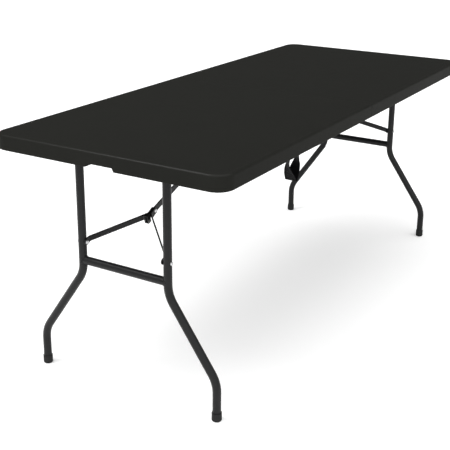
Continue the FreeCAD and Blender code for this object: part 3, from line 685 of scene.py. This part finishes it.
# %% [markdown]
# ## Weld beads
#
# The crossbar and the pivot tube are welded to the legs, and a weld leaves a ring of
# overlapping ripples under the paint. A plain ring would look like a washer. Here the ring
# follows the curve where two tubes meet, so its points come from the tubes' own sizes, and
# Geometry Nodes set one drop, half sunk in the tubes, on every step along it.

# %% Copies along a line


def copies_along(tree, group_in, step):
    """Sets a copy on every step of a line, each pointing along it, and returns the node."""
    line = add_node(tree, "GeometryNodeMeshToCurve")
    stepped = add_node(tree, "GeometryNodeResampleCurve", mode="LENGTH")
    along = add_node(tree, "GeometryNodeInputTangent")
    aim = add_node(tree, "FunctionNodeAlignRotationToVector", axis="Z")
    copies = add_node(tree, "GeometryNodeInstanceOnPoints")
    tree.links.new(group_in.outputs["Geometry"], line.inputs["Mesh"])
    tree.links.new(line.outputs["Curve"], stepped.inputs["Curve"])
    tree.links.new(group_in.outputs[step], stepped.inputs["Length"])
    tree.links.new(stepped.outputs["Curve"], copies.inputs["Points"])
    tree.links.new(along.outputs["Tangent"], aim.inputs["Vector"])
    tree.links.new(aim.outputs[0], copies.inputs["Rotation"])
    return copies


# %% Ripple tree
RIPPLES, ripple_in, ripple_out = new_geometry_tree("weld_ripples", [
    ("Ripple size", "NodeSocketFloat"), ("Ripple step", "NodeSocketFloat"),
    ("Seed", "NodeSocketInt"), ("Finish", "NodeSocketMaterial")])
ripples = copies_along(RIPPLES, ripple_in, "Ripple step")
drop = add_node(RIPPLES, "GeometryNodeMeshUVSphere")
drop.inputs["Segments"].default_value = 8
drop.inputs["Rings"].default_value = 5
uneven = add_node(RIPPLES, "FunctionNodeRandomValue", data_type="FLOAT")
uneven.inputs[2].default_value, uneven.inputs[3].default_value = 0.9, 1.12
RIPPLES.links.new(ripple_in.outputs["Ripple size"], drop.inputs["Radius"])
RIPPLES.links.new(ripple_in.outputs["Seed"], uneven.inputs["Seed"])
RIPPLES.links.new(drop.outputs["Mesh"], ripples.inputs["Instance"])
RIPPLES.links.new(uneven.outputs[1], ripples.inputs["Scale"])
end_tree(RIPPLES, ripple_in, ripple_out, ripples.outputs[0])
print("tree:", RIPPLES.name)

# %% Weld lines
LEG_RADIUS, CROSSBAR_RADIUS, PIVOT_RADIUS = 0.012, 0.012, 0.011
CROSSBAR_LOW, CROSSBAR_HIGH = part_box("near_crossbar")
PIVOT_LOW, PIVOT_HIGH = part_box("near_pivot_tube")
LEG_TOP_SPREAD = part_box("near_leg_left")[0].y + LEG_RADIUS
WELD_STEPS = 48


def crossbar_line(x, side):
    """Where the crossbar's skin meets a leg's skin."""
    level = middle_of(CROSSBAR_LOW, CROSSBAR_HIGH).z
    points = []
    for k in range(WELD_STEPS):
        turn = 2 * math.pi * k / WELD_STEPS
        across = CROSSBAR_RADIUS * math.cos(turn)
        reach = math.sqrt(max(0.0, LEG_RADIUS ** 2 - across ** 2))
        points.append((x + across, side * (LEG_TOP_SPREAD - reach),
                       level + CROSSBAR_RADIUS * math.sin(turn)))
    return points


def pivot_line(x, side):
    """Where a leg's top meets the underside of the pivot tube."""
    level = middle_of(PIVOT_LOW, PIVOT_HIGH).z
    points = []
    for k in range(WELD_STEPS):
        turn = 2 * math.pi * k / WELD_STEPS
        across = max(-PIVOT_RADIUS, min(PIVOT_RADIUS, LEG_RADIUS * math.cos(turn)))
        points.append((x + across, side * LEG_TOP_SPREAD + LEG_RADIUS * math.sin(turn),
                       level - math.sqrt(PIVOT_RADIUS ** 2 - across ** 2)))
    return points


for half, sign in (("near", -1), ("far", 1)):
    plane = sign * abs(middle_of(CROSSBAR_LOW, CROSSBAR_HIGH).x)
    ring_points, ring_edges = [], []
    for trace in (crossbar_line, pivot_line):
        for side in (-1, 1):
            first = len(ring_points)
            ring_points += trace(plane, side)
            ring_edges += [(first + k, first + (k + 1) % WELD_STEPS) for k in range(WELD_STEPS)]
    rings = bpy.data.meshes.new(half + "_weld_beads")
    rings.from_pydata(ring_points, ring_edges, [])
    beads = grown(link_mesh(half + "_weld_beads", rings), RIPPLES, {
        "Ripple size": 0.0017, "Ripple step": 0.0019, "Seed": 5, "Finish": FINISH["frame_coat"]})
    shade_by_angle(beads.data, 60)
    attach(beads, half + "_leg_frame")
    print(half, "weld beads:", len(beads.data.polygons), "faces")

# %% [markdown]
# ## The carrying strap
#
# The strap is one length of flat webbing. Each end is screwed flat against the inside of the
# rim, then the band twists a quarter turn as it falls, and turns back up in a tight fold at
# the bottom. A cloth simulation would lose the flat section, so the band is swept instead: a
# rounded section is carried along a smooth line and turned as it goes. Both bands twist the
# same way, so from the table's corner they look thin at the rim and broad lower down.

# %% Strap line
STRAP_LOW, STRAP_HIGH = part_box("carry_strap")
STRAP_MIDDLE = middle_of(STRAP_LOW, STRAP_HIGH).x
BAND_WIDTH, BAND_THICK = 0.0375, 0.0018
RIM_FACE = STRAP_LOW.y
RIM_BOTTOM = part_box("near_tabletop")[0].z
TAB_CENTRE = 0.026
LOOP_INWARD = 0.0230
LOOP_CENTRE = RIM_FACE + LOOP_INWARD
FOLD_DROP, FOLD_REACH, FOLD_DIP, FOLD_TURN = 0.0920, 0.0030, 0.0015, 86

# From the tab down: distance from the strap's middle, inward from the rim's face, height
# above the rim's bottom, and the turn of the band's broad side in degrees.
LEFT_FALL = [(TAB_CENTRE, 0.0010, 0.027, 0), (TAB_CENTRE, 0.0010, 0.014, 0),
             (0.0260, 0.0030, 0.003, 8), (0.0265, 0.0105, -0.008, 22),
             (0.0265, 0.0160, -0.018, 30), (0.0260, 0.0195, -0.030, 34),
             (0.0240, 0.0220, -0.043, 42), (0.0195, LOOP_INWARD, -0.058, 60),
             (0.0130, LOOP_INWARD, -0.073, 77), (0.0060, LOOP_INWARD, -0.086, 85)]
RIGHT_FALL = [(TAB_CENTRE, 0.0010, 0.027, 0), (TAB_CENTRE, 0.0010, 0.014, 0),
              (0.0262, 0.0030, 0.003, 7), (0.0272, 0.0105, -0.008, 20),
              (0.0284, 0.0155, -0.018, 28), (0.0294, 0.0185, -0.030, 38),
              (0.0285, 0.0215, -0.043, 53), (0.0225, LOOP_INWARD, -0.058, 70),
              (0.0140, LOOP_INWARD, -0.073, 81), (0.0065, LOOP_INWARD, -0.086, 85)]


def strap_points():
    """The strap's control points, end to end: x, y, z and the broad side's turn."""
    def fall(points, side):
        return [(STRAP_MIDDLE + side * x, RIM_FACE + y, RIM_BOTTOM + z, turn)
                for x, y, z, turn in points]
    bend = [(STRAP_MIDDLE + x, LOOP_CENTRE, RIM_BOTTOM - FOLD_DROP - dip, FOLD_TURN)
            for x, dip in ((-FOLD_REACH, 0.0), (0.0, FOLD_DIP), (FOLD_REACH, 0.0))]
    return fall(LEFT_FALL, -1) + bend + list(reversed(fall(RIGHT_FALL, 1)))


def smooth_line(points, steps):
    """A Catmull-Rom line through points of any number of values."""
    padded = [points[0]] + points + [points[-1]]
    line = []
    for a, b, c, d in zip(padded, padded[1:], padded[2:], padded[3:]):
        for k in range(steps):
            t = k / steps
            line.append([0.5 * (2 * q + (r - p) * t + (2 * p - 5 * q + 4 * r - s) * t * t
                                + (3 * q - p - 3 * r + s) * t ** 3)
                         for p, q, r, s in zip(a, b, c, d)])
    line.append(list(points[-1]))
    return line


STRAP_LINE = smooth_line(strap_points(), steps=8)
STRAP_LENGTH = sum((Vector(a[:3]) - Vector(b[:3])).length
                   for a, b in zip(STRAP_LINE, STRAP_LINE[1:]))
print("strap length", round(STRAP_LENGTH, 3), "m")

# %% Sweep the webbing


def band_section():
    """The webbing's section: flat faces and rounded selvedges, as (across, out) points."""
    half, thick, strips = BAND_WIDTH / 2, BAND_THICK / 2, 6
    flat, shoulder = half - 0.0012, half - 0.0004
    top = [(-flat + 2 * flat * k / strips, thick) for k in range(strips + 1)]
    selvedge = [(shoulder, 0.6 * thick), (half, 0.0), (shoulder, -0.6 * thick)]
    ring = top + selvedge
    return ring + [(-x, -y) for x, y in ring]


def band_axes(before, after, turn):
    """The band's broad direction, and the way out of its face, at a turn in degrees."""
    ahead = (Vector(after[:3]) - Vector(before[:3])).normalized()
    broad = Vector((math.cos(math.radians(turn)), math.sin(math.radians(turn)), 0))
    broad = (broad - ahead * broad.dot(ahead)).normalized()
    return broad, ahead.cross(broad)


def sweep_band(name, line, section):
    """Carries the section along the line, with a UV map in metres for the weave."""
    mesh = bpy.data.meshes.new(name)
    centres = [Vector(row[:3]) for row in line]
    travelled = [0.0]
    for before, after in zip(centres, centres[1:]):
        travelled.append(travelled[-1] + (after - before).length)
    corners, uvs = [], []
    for k, (centre, row) in enumerate(zip(centres, line)):
        broad, out = band_axes(line[max(k - 1, 0)], line[min(k + 1, len(line) - 1)], row[3])
        for across, thick in section:
            corners.append(centre + broad * across + out * thick)
            uvs.append((across + BAND_WIDTH / 2, travelled[k]))
    n = len(section)
    faces = []
    for k in range(len(line) - 1):
        for j in range(n):
            after = (j + 1) % n
            faces.append((k * n + j, k * n + after, (k + 1) * n + after, (k + 1) * n + j))
    faces.append(tuple(reversed(range(n))))
    faces.append(tuple((len(line) - 1) * n + j for j in range(n)))
    mesh.from_pydata(corners, [], faces)
    layer = mesh.uv_layers.new(name="weave")
    for loop in mesh.loops:
        layer.data[loop.index].uv = uvs[loop.vertex_index]
    shape = bmesh.new()
    shape.from_mesh(mesh)
    bmesh.ops.recalc_face_normals(shape, faces=shape.faces)
    shape.to_mesh(mesh)
    shape.free()
    shade_by_angle(mesh, 50)
    return link_mesh(name, mesh)


strap = sweep_band("carry_strap_webbing", STRAP_LINE, band_section())
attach(strap, "near_half")
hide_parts("carry_strap")
print("webbing faces:", len(strap.data.polygons))

# %% [markdown]
# ## The weave
#
# Webbing is woven: short raised threads lie in rows, each row shifted by half a thread. Real
# threads would need far too many faces. A brick pattern is laid out the same way, so the
# weave is a Brick Texture on the band's own UV map, where one unit is a metre of webbing. The
# group gives a height for the bump and a mask that paints shade into the hollows between
# threads, which makes them darker.

# %% Weave group
WEAVE, weave_in, weave_out = new_group(
    "webbing_weave",
    [("Vector", "NodeSocketVector", None), ("Thread width", "NodeSocketFloat", 0.0015)],
    [("Height", "NodeSocketFloat"), ("Threads", "NodeSocketFloat")])
bricks = add_node(WEAVE, "ShaderNodeTexBrick", offset=0.5)
bricks.inputs["Color1"].default_value = (0.8, 0.8, 0.8, 1)
bricks.inputs["Color2"].default_value = (1, 1, 1, 1)
# the black mortar is the hollows between threads, darkened as painted shade
bricks.inputs["Mortar"].default_value = (0, 0, 0, 1)
bricks.inputs["Mortar Size"].default_value = 0.12
bricks.inputs["Mortar Smooth"].default_value = 1.0
bricks.inputs["Brick Width"].default_value = 1.0
bricks.inputs["Row Height"].default_value = 0.62
per_thread = add_node(WEAVE, "ShaderNodeMath", operation="DIVIDE", in_0=1.0)
flip = add_node(WEAVE, "ShaderNodeMath", operation="SUBTRACT", in_0=1.0)
grey = add_node(WEAVE, "ShaderNodeRGBToBW")
WEAVE.links.new(weave_in.outputs["Vector"], bricks.inputs["Vector"])
WEAVE.links.new(weave_in.outputs["Thread width"], per_thread.inputs[1])
WEAVE.links.new(per_thread.outputs[0], bricks.inputs["Scale"])
WEAVE.links.new(bricks.outputs["Fac"], flip.inputs[1])
WEAVE.links.new(flip.outputs[0], weave_out.inputs["Height"])
# the mask holds the threads' tone and the painted shade of the hollows
WEAVE.links.new(bricks.outputs["Color"], grey.inputs[0])
WEAVE.links.new(grey.outputs[0], weave_out.inputs["Threads"])

print("node group:", WEAVE.name)

# %% Webbing finish


def woven_finish(name, painted_hollow_shade, thread):
    """Webbing, with a dark colour painted into the hollows as shade, and a paler one for the threads.
    """
    material, tree, shader = new_material(name)
    uv = add_node(tree, "ShaderNodeUVMap", uv_map="weave")
    weave = add_node(tree, "ShaderNodeGroup", node_tree=WEAVE)
    tree.links.new(uv.outputs["UV"], weave.inputs["Vector"])
    # the dark colour in the hollows between threads is painted shade
    mix_colours(tree, shader, weave.outputs["Threads"], painted_hollow_shade, thread)
    add_relief(tree, shader, weave.outputs["Height"], 0.8, 0.0004)
    shader.inputs["Roughness"].default_value = 0.62
    shader.inputs["Specular IOR Level"].default_value = 0.08
    shader.inputs["Sheen Weight"].default_value = 0.01
    shader.inputs["Sheen Roughness"].default_value = 0.4
    return material


# the first colour is painted shade for the hollows, the second the threads' own colour
webbing = woven_finish("woven_webbing", (0.0012, 0.0012, 0.0012), (0.003, 0.003, 0.0033))
strap.data.materials.append(webbing)
print("finish:", webbing.name)

# %% [markdown]
# ## Stitches
#
# The fold that the hand holds is sewn across so that it keeps its shape. The stitches could
# be a bump, but they stand proud enough to be modelled. Each seam is a straight line just
# above the band's face, taken from the strap's own line, and Geometry Nodes lay a short
# stitch on every step along it.

# %% Stitch tree
STITCHES, stitch_in, stitch_out = new_geometry_tree("stitches", [
    ("Step", "NodeSocketFloat"), ("Stitch length", "NodeSocketFloat"),
    ("Thread radius", "NodeSocketFloat"), ("Finish", "NodeSocketMaterial")])
sewn = copies_along(STITCHES, stitch_in, "Step")
thread = add_node(STITCHES, "GeometryNodeMeshUVSphere")
thread.inputs["Segments"].default_value = 8
thread.inputs["Rings"].default_value = 6
thread.inputs["Radius"].default_value = 1.0
half_length = add_node(STITCHES, "ShaderNodeMath", operation="MULTIPLY", in_1=0.5)
stretch = add_node(STITCHES, "ShaderNodeCombineXYZ")
STITCHES.links.new(stitch_in.outputs["Stitch length"], half_length.inputs[0])
STITCHES.links.new(stitch_in.outputs["Thread radius"], stretch.inputs["X"])
STITCHES.links.new(stitch_in.outputs["Thread radius"], stretch.inputs["Y"])
STITCHES.links.new(half_length.outputs[0], stretch.inputs["Z"])
STITCHES.links.new(thread.outputs["Mesh"], sewn.inputs["Instance"])
STITCHES.links.new(stretch.outputs[0], sewn.inputs["Scale"])
end_tree(STITCHES, stitch_in, stitch_out, sewn.outputs[0])
print("tree:", STITCHES.name)

# %% Sew the strap
THREAD = 0.0004
SEAM_DROPS = (0.066, 0.074, 0.082)
SEAM_INSET = 0.003


def seam_across(line, drop, side):
    """A seam's two ends across the band, at a drop below the rim on one of its falls."""
    rows = line[:len(line) // 2] if side < 0 else line[len(line) // 2:]
    row = min(rows, key=lambda r: abs(r[2] - (RIM_BOTTOM - drop)))
    k = line.index(row)
    broad, out = band_axes(line[k - 1], line[k + 1], row[3])
    out = out if out.x * side > 0 else -out
    face = Vector(row[:3]) + out * (BAND_THICK / 2 + THREAD / 4)
    reach = broad * (BAND_WIDTH / 2 - SEAM_INSET)
    return face - reach, face + reach


def thread_finish(name):
    """Twisted sewing thread, as fine dark and pale waves of painted shade and painted light."""
    material, tree, shader = new_material(name)
    place = add_node(tree, "ShaderNodeTexCoord")
    twist = add_node(tree, "ShaderNodeTexWave")
    twist.inputs["Scale"].default_value = 900
    tree.links.new(place.outputs["Object"], twist.inputs["Vector"])
    # the pale and dark waves are painted light on the twist's ridges and painted shade in its grooves
    mix_colours(tree, shader, twist.outputs["Fac"], (0.012, 0.012, 0.012), (0.040, 0.040, 0.040))
    shader.inputs["Roughness"].default_value = 0.5
    return material


seams = [seam_across(STRAP_LINE, drop, side) for side in (-1, 1) for drop in SEAM_DROPS]
seam_mesh = bpy.data.meshes.new("strap_stitches")
seam_mesh.from_pydata([end for seam in seams for end in seam],
                      [(2 * k, 2 * k + 1) for k in range(len(seams))], [])
sewing = thread_finish("sewing_thread")
stitches = grown(link_mesh("strap_stitches", seam_mesh), STITCHES, {
    "Step": 0.0032, "Stitch length": 0.0026, "Thread radius": THREAD, "Finish": sewing})
shade_by_angle(stitches.data, 60)
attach(stitches, "near_half")
print("seams:", len(seams), "stitch faces:", len(stitches.data.polygons))
